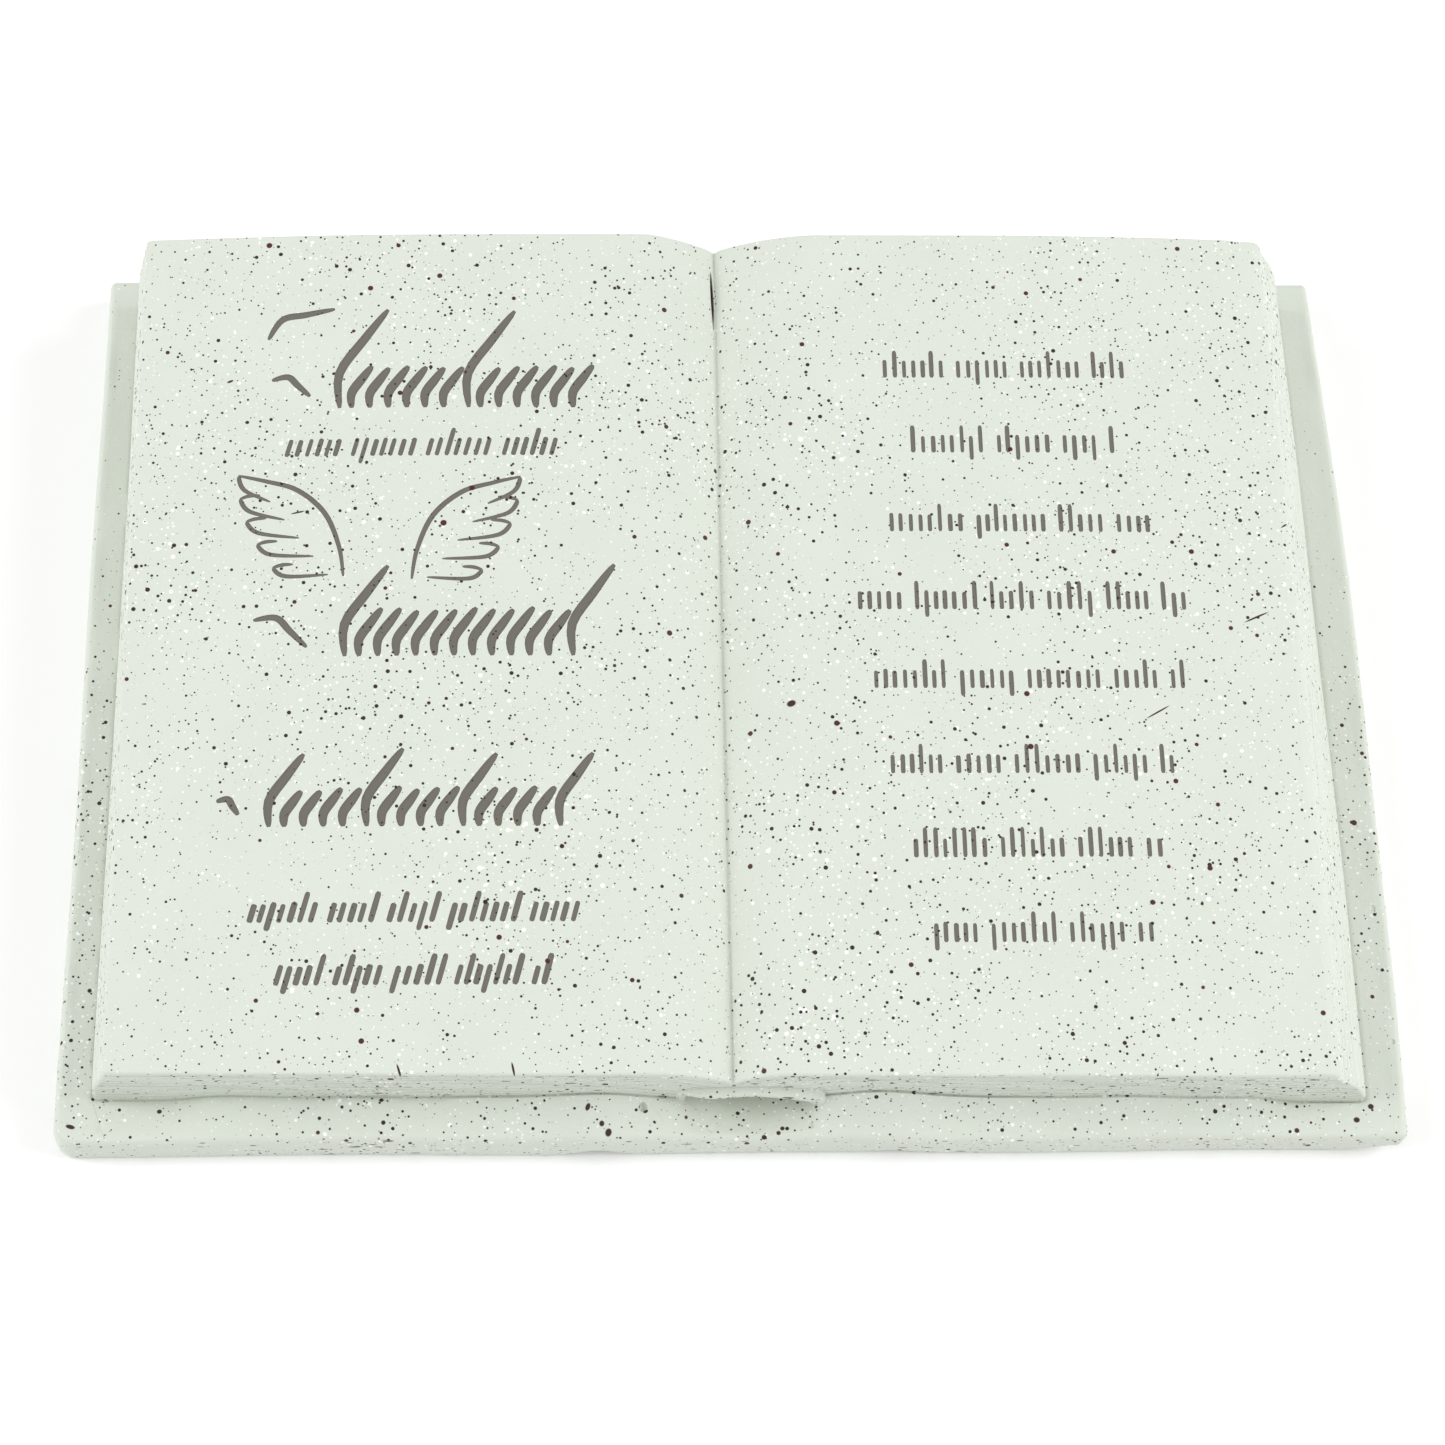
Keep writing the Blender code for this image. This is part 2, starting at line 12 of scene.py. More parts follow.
import bmesh
import bpy
import numpy as np
from mathutils import Matrix, Vector


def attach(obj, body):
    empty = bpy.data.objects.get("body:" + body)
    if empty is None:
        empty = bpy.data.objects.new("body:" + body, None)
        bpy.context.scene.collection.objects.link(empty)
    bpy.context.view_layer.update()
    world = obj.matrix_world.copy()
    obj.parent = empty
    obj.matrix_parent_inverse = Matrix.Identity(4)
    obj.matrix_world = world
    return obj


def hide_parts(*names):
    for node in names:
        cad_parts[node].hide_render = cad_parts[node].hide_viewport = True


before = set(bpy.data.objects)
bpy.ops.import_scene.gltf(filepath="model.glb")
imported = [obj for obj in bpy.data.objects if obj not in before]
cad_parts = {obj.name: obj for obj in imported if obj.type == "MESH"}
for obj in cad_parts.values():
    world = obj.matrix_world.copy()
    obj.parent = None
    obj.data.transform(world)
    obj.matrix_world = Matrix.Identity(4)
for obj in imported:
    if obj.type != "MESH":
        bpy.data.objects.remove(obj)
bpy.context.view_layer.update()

MM = 0.001

# The casting's form, in millimetres, as in its CAD source
COVER_WIDTH = 205.0
COVER_DEPTH = 152.8
COVER_THICK = 7.0
COVER_CORNERS = np.array((3.0, 1.2, 1.2, 1.4))
LEAST_CORNER = 0.2
SIDE_BOW = 1.3
BLOCK_BOW_SHARE = 0.3
BLOCK_SET_BACK = 1.3
COVER_ARRIS = 1.1
ARRIS_DROPS = (2.6, 1.1)
ARRIS_CHANGE_X = 10.0
ARRIS_CHANGE_HALF_WIDTH = 30.0
COVER_UNDER_ROUND = 0.8
CORNER_CUT_WIDTH = 15.0
CORNER_CUT_DEPTH = 16.0
CORNER_CUT_HEIGHT = 4.6
CUT_CLEAR = 2.0
SWELLS = (2.0, 2.6)
SWELL_POWER = 1.5
SWELL_END_CLEAR = 15.5
SWELL_END_RUN = 10.0
JOINT_SWELLS = (1.8, 2.4)
JOINT_SWELL_HALF_WIDTH = 16.0
FOOT_MARGINS = (5.9, 6.2, 5.8, 5.5)
TOP_MARGINS = (8.9, 12.3, 5.5, 4.7)
BLOCK_FRONT_HEIGHT = 13.2
BLOCK_BACK_HEIGHT = 21.2
BLOCK_CORNERS = np.array((0.7, 0.7, 0.7, 0.7))
PAGE_EDGE_ROUND = 0.45
RIGHT_EDGE_ROUND = 2.0
RIGHT_ROUND_REACH = 6.0
FAN_POWER = 1.7
GUTTER_X = -0.5
GUTTER_DEPTHS = (3.6, 5.2)
LEFT_ROLLS = (10.5, 11.5)
RIGHT_ROLLS = (8.5, 17.5)
LEFT_ROLL_POWER = 1.4
RIGHT_ROLL_POWER = 1.9
LEFT_SAG = 2.4
RIGHT_SAG = 1.7
LEFT_SAG_POWER = 1.6
RIGHT_SAG_POWER = 3.0
CREST_SHARE = 0.42
ARCH_X = 2.4
ARCH_HALF_SPAN = 11.2
ARCH_RISE = 6.9
ARCH_FOOT = 3.8
ARCH_THICK = 1.5
ARCH_STAND_OUT = 1.5
HOLLOW_DEPTH = 1.6
CHANNEL_HALF_WIDTH = 9.8
CHANNEL_DEPTH = 1.8
CHANNEL_RUN_OUT = 0.3
CHANNEL_WALL_START = 8.2
CHANNEL_SHOULDER = 3.0
FRONT_STRIP_REACH = 1.5
JOINTS = ((-20.5, 2.0), (24.5, 1.0))
JOINT_HALF_WIDTH = 6.5

# What the fine mesh adds
PAGE_LINES = 12
LINE_RINGS = ((0.0, 1.0), (0.13, 0.15), (0.5, 0.0), (0.87, 0.15))
LINE_DEPTH = 0.5
FOOT_GROOVE = 0.45
GUTTER_CREASE_DEPTH = 0.45
GUTTER_CREASE_HALF_WIDTH = 1.1
HAND_WAVE = 0.16
COVER_WAVE = 0.2
COVER_EDGE_SHAKE = 0.12
COVER_EDGE_WORN = 0.14
LINE_DRIFTS = ((0.40, 31.0, 4), (0.25, 11.3, 9))
LEAST_LINE = 0.08
LIP_STEPS = 40
LIP_SUNK = 4.5
LIP_THICK = 1.2
LIP_WOBBLE = 0.10
LIP_TAPER = 0.25
LIP_TAPER_END = 0.35
LUG_START = 0.69
LUG_DROP = 2.6
LIP_PROFILE = ((0.0, 3.0), (0.0, 0.45), (0.12, 0.12), (0.4, 0.0), (0.8, 0.05), (1.0, 0.35), (1.0, 3.0))
COVER_CREASES = (
    ((-96.6, -69.5), (-95.7, -72.0), (-94.4, -75.6)),
    ((-11.8, -71.8), (-11.3, -72.6), (-10.9, -73.4)),
)
COVER_CREASE_WIDTH = 0.32
GUTTER_SLIT = ((-1.1, 67.5), (-0.9, 62.0), (-0.8, 57.0))
GUTTER_SLIT_WIDTH = 0.5

# Bubbles, chips and dents of the cover: place, radius and depth
PITS = (
    (-13.8, -71.6, 0.75, 1.0),
    (-3.4, -74.4, 0.42, 0.25),
    (5.4, -75.0, 0.45, 0.2),
    (11.6, -74.0, 0.5, 0.2),
    (101.6, -61.0, 0.5, 0.35),
    (100.9, -39.0, 0.55, 0.3),
)

# Mesh stations
MID_HALF_WIDTH = 30.0
MID_PITCH = 1.0
CREASE_STATIONS = (-0.6, -0.3, 0.3, 0.6)
OUTER_STATIONS = 34
SIDE_STATIONS = 74
ARC_STEPS = 5

COVER_BOX = np.array([-COVER_WIDTH / 2, COVER_WIDTH / 2, -COVER_DEPTH / 2, COVER_DEPTH / 2])
CENTRING = -SIDE_BOW / 2


def mix(low, high, share):
    return low + (high - low) * share


def inset(box, margins):
    left, right, front, back = margins
    return box + np.array([left, -right, front, -back])


FOOT_BOX = inset(COVER_BOX, FOOT_MARGINS)
PAGE_BOX = inset(COVER_BOX, TOP_MARGINS)


def bump(distance, half_width):
    share = np.minimum(np.abs(distance) / half_width, 1.0)
    return 0.5 * (1 + np.cos(np.pi * share))


def underside(x):
    return sum(depth * bump(x - place, JOINT_HALF_WIDTH) for place, depth in JOINTS)


def hand_wave(x, y):
    """Slow waves of a hand-made master, from 0 down to -1."""
    first = np.sin(x / 9.1 + 1.3 * np.sin(y / 23.0))
    second = np.sin(y / 7.7 + 1.1 * np.sin(x / 17.0) + 2.0)
    return (first * second - 1) / 2


def clamp(value):
    return np.clip(value, 0.0, 1.0)


def ease(share):
    """A share from 0 to 1 with soft ends."""
    share = clamp(share)
    return share * share * (3 - 2 * share)


def swell(x):
    """Height of the cover's swell at the foot of the block: none at the ends and the channel."""
    sides = [
        flat + joint * bump(x - place, JOINT_SWELL_HALF_WIDTH)
        for flat, joint, (place, _) in zip(SWELLS, JOINT_SWELLS, JOINTS)
    ]
    ends = ease((COVER_WIDTH / 2 - np.abs(x) - SWELL_END_CLEAR) / SWELL_END_RUN)
    middle = ease((np.abs(x - ARCH_X) - CHANNEL_WALL_START) / CHANNEL_SHOULDER)
    wave = 1 + 0.10 * np.sin(x / 7.3) + 0.07 * np.sin(x / 3.1 + 1.0)
    return ends * middle * wave * np.where(x > ARCH_X, sides[1], sides[0])


def cover_top(x, y):
    """Upper face of the cover, with the swell and the channel of its front strip."""
    share = (y - COVER_BOX[2]) / FOOT_MARGINS[2]
    depth = CHANNEL_DEPTH * mix(CHANNEL_RUN_OUT, 1.0, clamp(share))
    channel = depth * bump(x - ARCH_X, CHANNEL_HALF_WIDTH)
    front = swell(x) * clamp(share) ** SWELL_POWER - channel
    return COVER_THICK + np.where(share > FRONT_STRIP_REACH, 0.0, front)


def arris_drop(x):
    """Height of the round along the cover's upper edge: larger on the left."""
    return mix(*ARRIS_DROPS, ease(0.5 + (x - ARRIS_CHANGE_X) / (2 * ARRIS_CHANGE_HALF_WIDTH)))


def page_height(x, y):
    """Height of the page surface above the ground."""
    x = np.asarray(x, float)
    along = (y - PAGE_BOX[2]) / (PAGE_BOX[3] - PAGE_BOX[2])
    left = x < GUTTER_X
    off = np.abs(x - GUTTER_X)
    reach = np.where(left, GUTTER_X - PAGE_BOX[0], PAGE_BOX[1] - GUTTER_X)
    roll = np.where(left, mix(*LEFT_ROLLS, along), mix(*RIGHT_ROLLS, along))
    power = np.where(left, LEFT_ROLL_POWER, RIGHT_ROLL_POWER)
    valley = mix(*GUTTER_DEPTHS, along) * np.maximum(0.0, 1 - off / roll) ** power
    past = np.maximum(0.0, off / reach - CREST_SHARE) / (1 - CREST_SHARE)
    sag = np.where(left, LEFT_SAG * past ** LEFT_SAG_POWER, RIGHT_SAG * past ** RIGHT_SAG_POWER)
    rise = mix(BLOCK_FRONT_HEIGHT, BLOCK_BACK_HEIGHT, along)
    crease = GUTTER_CREASE_DEPTH * bump(off, GUTTER_CREASE_HALF_WIDTH)
    return COVER_THICK + rise - valley - crease - sag * along + HAND_WAVE * hand_wave(x, y)


def stations(low, high):
    half = round(MID_HALF_WIDTH / MID_PITCH)
    middle = MID_PITCH * np.arange(-half, half + 1)
    middle = GUTTER_X + np.sort(np.append(middle, CREASE_STATIONS))
    steps = np.arange(OUTER_STATIONS) / OUTER_STATIONS
    return np.concatenate([mix(low, middle[0], steps), middle, mix(high, middle[-1], steps)[::-1]])


def smaller(corners, offset):
    return np.maximum(corners - offset, LEAST_CORNER)


def ring_sides(box, corners, bow, set_back):
    """Front, right, back and left side of a rounded rectangle, from corner middle to corner
    middle, each point with its outward normal: rows of x, y, nx, ny. The right side bows out
    and the front left corner is set back."""
    x0, x1, y0, y1 = box
    front_left, front_right, back_right, back_left = corners

    def corner(cx, cy, radius, start_deg, end_deg):
        turn = np.radians(np.linspace(start_deg, end_deg, ARC_STEPS + 1)[:-1])
        ray = np.stack([np.cos(turn), np.sin(turn)], 1)
        return np.concatenate([np.array([cx, cy]) + radius * ray, ray], 1)

    def straight(xs, ys, nx, ny):
        whole = np.broadcast_arrays(xs, ys, nx, ny)
        return np.stack([np.array(part, float) for part in whole], 1)

    def at_front_left(*turns):
        return corner(x0 + front_left, y0 + front_left, front_left, *turns)

    def at_front_right(*turns):
        return corner(x1 - front_right, y0 + front_right, front_right, *turns)

    def at_back_left(*turns):
        return corner(x0 + back_left, y1 - back_left, back_left, *turns)

    def at_back_right(*turns):
        return corner(x1 - back_right, y1 - back_right, back_right, *turns)

    near = straight(stations(x0 + front_left, x1 - front_right), y0, 0, -1)
    far = straight(stations(x0 + back_left, x1 - back_right), y1, 0, 1)
    west = straight(x0, np.linspace(y0 + front_left, y1 - back_left, SIDE_STATIONS + 1), -1, 0)
    east = straight(x1, np.linspace(y0 + front_right, y1 - back_right, SIDE_STATIONS + 1), 1, 0)
    front = np.concatenate([at_front_left(225, 270), near, at_front_right(315, 270)[::-1]])
    back = np.concatenate([at_back_left(135, 90), far, at_back_right(45, 90)[::-1]])
    left = np.concatenate([at_front_left(225, 180), west, at_back_left(135, 180)[::-1]])
    right = np.concatenate([at_front_right(-45, 0), east, at_back_right(45, 0)[::-1]])
    off = (2 * right[:, 1] - y0 - y1) / (y1 - y0)
    right[:, 0] += bow * (1 - off * off)
    for side in (front, right, back, left):
        side[:, 1] += set_back * (x1 - side[:, 0]) * (y1 - side[:, 1]) / ((x1 - x0) * (y1 - y0))
    return front, right, back, left


def loop_of(sides):
    front, right, back, left = sides
    return np.concatenate([front[:-1], right[:-1], back[:0:-1], left[:0:-1]])


def cover_rings():
    """Rings of the cover, from the underside over its edge to the bare strip on top."""
    rings = []

    def add(offset, height, uneven):
        corners = smaller(COVER_CORNERS, offset)
        loop = loop_of(ring_sides(inset(COVER_BOX, [offset] * 4), corners, SIDE_BOW, 0.0))
        x, y = loop[:, 0], loop[:, 1]
        shake = COVER_EDGE_SHAKE * np.sin(x / 6.3 + 0.4 * y) * np.sin(y / 8.9 + 1.7)
        worn = COVER_EDGE_WORN * (1 + np.sin(x / 11.0 + y / 14.0))
        x = x - loop[:, 2] * worn
        y = y - loop[:, 3] * worn
        rings.append(np.stack([x, y, height(x, y) + shake * uneven], 1))

    for turn_deg in (90, 60, 30, 0):
        turn = math.radians(turn_deg)
        lift = COVER_UNDER_ROUND * (1 - math.sin(turn))
        add(COVER_UNDER_ROUND * (1 - math.cos(turn)), lambda x, y: underside(x) + lift, 0.0)
    for share in (0.35, 0.7):

        def on_edge(x, y):
            return mix(underside(x) + COVER_UNDER_ROUND, cover_top(x, y) - arris_drop(x), share)

        add(0.0, on_edge, 0.0)
    for turn_deg in (0, 22, 45, 67, 90):
        turn = math.radians(turn_deg)
        drop = 1 - math.sin(turn)
        add(COVER_ARRIS * (1 - math.cos(turn)), lambda x, y: cover_top(x, y) - drop * arris_drop(x), 1.0)
    for share in (0.2, 0.4, 0.6, 0.8, 0.93):
        corners = mix(smaller(COVER_CORNERS, COVER_ARRIS), BLOCK_CORNERS, share)
        margins = [mix(COVER_ARRIS, foot, share) for foot in FOOT_MARGINS]
        bow = SIDE_BOW * mix(1.0, BLOCK_BOW_SHARE, share)
        loop = loop_of(ring_sides(inset(COVER_BOX, margins), corners, bow, share * BLOCK_SET_BACK))
        x, y = loop[:, 0], loop[:, 1]
        rings.append(np.stack([x, y, cover_top(x, y) + COVER_WAVE * hand_wave(x * 2, y * 2)], 1))
    return rings


def edge_round(x, box):
    near_right = np.clip(1 - (box[1] - x) / RIGHT_ROUND_REACH, 0.0, 1.0)
    return mix(PAGE_EDGE_ROUND, RIGHT_EDGE_ROUND, near_right)


def edge_margins(share):
    left = PAGE_EDGE_ROUND * share
    return np.array([left, RIGHT_EDGE_ROUND * share, left, left])


def hollow(x, height):
    across = (x - ARCH_X) / (ARCH_HALF_SPAN - ARCH_THICK)
    up = height / (ARCH_RISE - ARCH_THICK)
    return HOLLOW_DEPTH * np.sqrt(np.maximum(0.0, 1 - across * across - up * up))


def waved_share(share, run):
    """A share of the block's height that wanders with the run: x + y goes round without a jump."""
    drift = sum(size * np.sin(run / length + turns * share) for size, length, turns in LINE_DRIFTS)
    return share + drift * math.sin(math.pi * min(share, 1.0)) / PAGE_LINES


def line_strength(line, run):
    """How deep a page line is along its run, from nearly closed to full depth."""
    uneven = 0.5 + 0.7 * np.sin(run / 17.0 + 2.3 * line) * np.sin(run / 6.1 + 5.0 * line)
    return np.clip(uneven, LEAST_LINE, 1.0)


def block_ring(share, groove=0.0, line=0, set_in=(0.0, 0.0, 0.0, 0.0), drop=1.0):
    """Ring of the block at a share of its height, sunk into a page line or set in at the edge."""
    fan = share ** FAN_POWER
    margins = [mix(*ends, fan) + extra for *ends, extra in zip(FOOT_MARGINS, TOP_MARGINS, set_in)]
    box = inset(COVER_BOX, margins)
    bow = BLOCK_BOW_SHARE * SIDE_BOW
    x, y, nx, ny = loop_of(ring_sides(box, BLOCK_CORNERS, bow, BLOCK_SET_BACK)).T
    run = x + y
    foot = cover_top(x, y) - FOOT_GROOVE * (share == 0.0)
    top = page_height(x, y) - edge_round(x, box)
    height = waved_share(share, run) * (top - foot) + (1 - drop) * edge_round(x, box)
    sunk = LINE_DEPTH * groove * line_strength(line, run)
    set_back = np.where(ny < -0.99, hollow(x, height), 0.0)
    return np.stack([x - nx * sunk, y - ny * sunk + set_back, foot + height], 1)


def block_rings():
    rings = []
    for line in range(PAGE_LINES):
        for phase, groove in LINE_RINGS:
            groove = 0.0 if line + phase == 0 else groove
            rings.append(block_ring((line + phase) / PAGE_LINES, groove, line + round(phase)))
    for turn_deg in (0, 22, 45, 67, 90):
        turn = math.radians(turn_deg)
        rings.append(block_ring(1.0, 0.0, 0, edge_margins(1 - math.cos(turn)), 1 - math.sin(turn)))
    return rings


def page_grid():
    """Page points inside the edge ring, spread from its four sides."""
    margins = np.array(TOP_MARGINS) + edge_margins(1.0)
    bow = BLOCK_BOW_SHARE * SIDE_BOW
    sides = ring_sides(inset(COVER_BOX, margins), BLOCK_CORNERS, bow, BLOCK_SET_BACK)
    front, right, back, left = [side[:, :2] for side in sides]
    u = ((front[:, 0] - front[0, 0]) / (front[-1, 0] - front[0, 0]))[None, 1:-1, None]
    v = ((left[:, 1] - left[0, 1]) / (left[-1, 1] - left[0, 1]))[1:-1, None, None]
    spread = mix(front[None, 1:-1], back[None, 1:-1], v) + mix(left[1:-1, None], right[1:-1, None], u)
    xy = spread - mix(mix(front[0], front[-1], u), mix(back[0], back[-1], u), v)
    return np.concatenate([xy, page_height(xy[..., 0], xy[..., 1])[..., None]], 2)


def mesh_object(name, mesh):
    data = bpy.data.meshes.new(name)
    mesh.to_mesh(data)
    mesh.free()
    thing = bpy.data.objects.new(name, data)
    bpy.context.scene.collection.objects.link(thing)
    return thing


def build_casting():
    """The casting as one closed skin of rings, page grid and underside."""
    mesh = bmesh.new()
    loops = []
    for ring in cover_rings() + block_rings():
        loops.append([mesh.verts.new(Vector(point) * MM) for point in ring])
    count = len(loops[0])
    for low, high in zip(loops, loops[1:]):
        for k in range(count):
            after = (k + 1) % count
            mesh.faces.new((low[k], low[after], high[after], high[k]))
    front, right, back, left = (len(side) - 1 for side in ring_sides(COVER_BOX, COVER_CORNERS, 0.0, 0.0))
    edge = loops[-1]
    grid = [edge[:front + 1]]
    for j, row in enumerate(page_grid(), start=1):
        inner = [mesh.verts.new(Vector(point) * MM) for point in row]
        grid.append([edge[-j]] + inner + [edge[front + j]])
    grid.append(edge[front + right:front + right + back + 1][::-1])
    for low, high in zip(grid, grid[1:]):
        for k in range(len(low) - 1):
            mesh.faces.new((low[k], low[k + 1], high[k + 1], high[k]))
    foot = loops[0]
    near = foot[:front + 1]
    far = foot[front + right:front + right + back + 1][::-1]
    for k in range(1, front - 1):
        mesh.faces.new((near[k + 1], near[k], far[k], far[k + 1]))
    mesh.faces.new([near[1], near[0]] + foot[:count - left:-1] + [far[0], far[1]])
    mesh.faces.new([near[-1], near[-2], far[-2], far[-1]] + foot[front + 1:front + right][::-1])
    bmesh.ops.recalc_face_normals(mesh, faces=mesh.faces[:])
    return mesh_object("casting", mesh)


def add_node(tree, kind, settings=(), links=()):
    """A node of that kind with its properties, socket values and incoming links."""
    node = tree.nodes.new(kind)
    for name, value in dict(settings).items():
        if isinstance(name, str) and hasattr(node, name):
            setattr(node, name, value)
        else:
            node.inputs[name].default_value = value
    for name, source in dict(links).items():
        tree.links.new(source, node.inputs[name])
    return node


def swept_groove_tree(material):
    """Tree that sweeps a flat oval along each path: its lower half cuts a rounded groove.

    The path's own radius swells and thins it, as a brush or a graver does."""
    tree = bpy.data.node_groups.new("swept_groove", "GeometryNodeTree")
    tree.interface.new_socket("Geometry", in_out="INPUT", socket_type="NodeSocketGeometry")
    depth = tree.interface.new_socket("Depth to half width", in_out="INPUT", socket_type="NodeSocketFloat")
    sides = tree.interface.new_socket("Profile sides", in_out="INPUT", socket_type="NodeSocketInt")
    tree.interface.new_socket("Geometry", in_out="OUTPUT", socket_type="NodeSocketGeometry")
    given = add_node(tree, "NodeGroupInput")
    oval = add_node(
        tree, "GeometryNodeCurvePrimitiveCircle", {"Radius": 1.0}, {"Resolution": given.outputs[2]}
    )
    squash = add_node(tree, "ShaderNodeCombineXYZ", {"X": 1.0, "Z": 1.0}, {"Y": given.outputs[1]})
    flat = add_node(
        tree, "GeometryNodeTransform", links={"Geometry": oval.outputs["Curve"], "Scale": squash.outputs[0]}
    )
    radius = add_node(tree, "GeometryNodeInputRadius")
    sweep = add_node(
        tree,
        "GeometryNodeCurveToMesh",
        {"Fill Caps": True},
        {"Curve": given.outputs[0], "Profile Curve": flat.outputs[0], "Scale": radius.outputs[0]},
    )
    real = add_node(tree, "GeometryNodeRealizeInstances", links={"Geometry": sweep.outputs[0]})
    painted = add_node(
        tree, "GeometryNodeSetMaterial", {"Material": material}, {"Geometry": real.outputs[0]}
    )
    add_node(tree, "NodeGroupOutput", links={0: painted.outputs[0]})
    return tree, depth.identifier, sides.identifier


def smooth_path(points, steps):
    """Points on a smooth curve through the given ones."""
    ends = [points[0]] + list(points) + [points[-1]]
    path = []
    for a, b, c, d in zip(ends, ends[1:], ends[2:], ends[3:]):
        for k in range(steps):
            t = k / steps
            weights = (
                -0.5 * t + t * t - 0.5 * t ** 3,
                1 - 2.5 * t * t + 1.5 * t ** 3,
                0.5 * t + 2 * t * t - 1.5 * t ** 3,
                -0.5 * t * t + 0.5 * t ** 3,
            )
            path.append(tuple(sum(w * p[i] for w, p in zip(weights, (a, b, c, d))) for i in (0, 1)))
    path.append(tuple(points[-1]))
    return path


class Strokes:
    """Paths on the book's surface, each with a width that swells and thins along it."""

    def __init__(self):
        self.paths = []

    def add(self, points, width, steps=4, thin=0.35, swell=0.5):
        """A stroke through the points, widest at the share swell of its length."""
        path = smooth_path(points, steps)
        count = len(path) - 1
        radii = []
        for k in range(count + 1):
            share = k / count
            lean = share ** (math.log(0.5) / math.log(swell))
            radii.append(width / 2 * mix(thin, 1.0, math.sin(math.pi * lean) ** 0.6))
        self.paths.append((path, radii))

    def bar(self, foot, tip, width):
        """A short straight stroke with blunt round ends."""
        path = [mix(np.array(foot), np.array(tip), share) for share in (0.0, 0.08, 0.5, 0.92, 1.0)]
        self.paths.append((path, [width / 2 * share for share in (0.55, 0.95, 1.0, 0.95, 0.55)]))


def grooves(name, strokes, height, material, depth_share, sides=10):
    """The strokes as closed cutters, swept by the node tree and made one plain mesh."""
    curve = bpy.data.curves.new(name, "CURVE")
    curve.dimensions = "3D"
    curve.twist_mode = "Z_UP"
    for path, radii in strokes.paths:
        line = curve.splines.new("POLY")
        line.points.add(len(path) - 1)
        for point, (x, y), radius in zip(line.points, path, radii):
            point.co = (x * MM, y * MM, float(height(x, y)) * MM, 1.0)
            point.radius = radius * MM
    thing = bpy.data.objects.new(name, curve)
    bpy.context.scene.collection.objects.link(thing)
    tree, depth, profile = swept_groove_tree(material)
    modifier = thing.modifiers.new("sweep", "NODES")
    modifier.node_group = tree
    modifier[depth] = depth_share
    modifier[profile] = sides
    graph = bpy.context.evaluated_depsgraph_get()
    data = bpy.data.meshes.new_from_object(thing.evaluated_get(graph))
    bpy.data.objects.remove(thing, do_unlink=True)
    cutter = bpy.data.objects.new(name, data)
    bpy.context.scene.collection.objects.link(cutter)
    return cutter


# Rows of short strokes: middle x, foot y, length, stroke width, lean
STROKE_SEED = 11
TEXT_PITCH = 1.5
SHORT_HEIGHT = 3.1
TALL_HEIGHT = 4.8
TALL_CHANCE = 0.22
HANGING_CHANCE = 0.10
HANGING_DROP = 1.3
WORD_GAP = 0.9
UPRIGHT_WIDTH = 0.72
RIGHT_ROW_X = 46.9
RIGHT_ROW_FEET = (45.3, 31.9, 18.0, 4.6, -8.7, -22.8, -36.4, -49.9)
RIGHT_ROW_LENGTHS = (41, 33, 41, 52, 48, 44, 38, 33)
LEANING_ROWS = (
    (-48.0, 31.3, 43.0, 0.78, 0.26),
    (-48.3, -46.4, 49.0, 0.92, 0.26),
    (-48.1, -56.2, 41.0, 0.92, 0.26),
)

# Rows of brush strokes: foot y, short and tall height, first and last place, strokes from one
# tall one to the next
SCRIPT_PITCH = 2.95
SCRIPT_LEAN = 0.4
SCRIPT_WIDTH = 1.6
SCRIPT_BENDS = ((0.0, 0.10), (0.35, -0.05), (0.7, 0.03), (1.0, 0.12))
SCRIPT_ROWS = (
    (39.8, 7.6, 17.5, -63.0, -24.0, 7),
    (-3.2, 8.0, 16.0, -61.0, -24.0, 12),
    (-31.2, 6.2, 12.4, -71.5, -27.0, 5),
)

# Long thin waves before the rows: start, end, bow
SWASH_WIDTH = 1.2
SWASH_BENDS = ((0.0, 0.0), (0.3, 1.0), (0.62, 0.55), (1.0, 0.0))
SWASHES = (
    ((-73.0, 52.4), (-62.4, 57.8), 2.2),
    ((-72.2, 45.0), (-66.0, 42.0), 1.6),
    ((-73.8, 3.0), (-65.4, -1.6), 2.0),
    ((-78.4, -27.0), (-75.0, -29.2), 1.2),
)

# Wings in line: roots with the side they spread to, leading edge, feathers from the top one to
# the lowest, each with its tip and root
WING_ROOTS = ((-60.0, 10.4, -1), (-49.3, 9.8, 1))
WING_EDGE = ((0, 0), (0.8, 5.2), (3.2, 11.0), (7.6, 15.0), (12.5, 16.6), (17.0, 17.7))
WING_EDGE_WIDTH = 0.9
FEATHERS = 5
TOP_FEATHER = np.array(((17.0, 17.6), (11.8, 13.0)))
LOW_FEATHER = np.array(((11.1, 1.5), (2.4, 0.3)))
FEATHER_BELLY = (0.5, -1.1)
FEATHER_WIDTH = 0.8
BARB_ENDS = ((-1.4, 0.5), (-3.2, 0.6))
BARB_WIDTH = 0.65
FINE_STEPS = 6


def text_row(strokes, rng, centre_x, y, length, width, lean):
    """Row of close, parallel, short strokes in groups, of uneven height."""
    x = centre_x - length / 2
    end = centre_x + length / 2
    while x < end:
        group = rng.randint(4, 8)
        for k in range(group):
            if x > end:
                break
            tall = rng.random() < TALL_CHANCE
            low = -HANGING_DROP if not tall and rng.random() < HANGING_CHANCE else 0.0
            high = TALL_HEIGHT if tall else SHORT_HEIGHT * rng.uniform(0.92, 1.04)
            foot, tip = (x + lean * low, y + low), (x + lean * high, y + high)
            strokes.bar(foot, tip, width * rng.uniform(0.85, 1.1))
            x += TEXT_PITCH * rng.uniform(0.92, 1.1)
        x += TEXT_PITCH * WORD_GAP


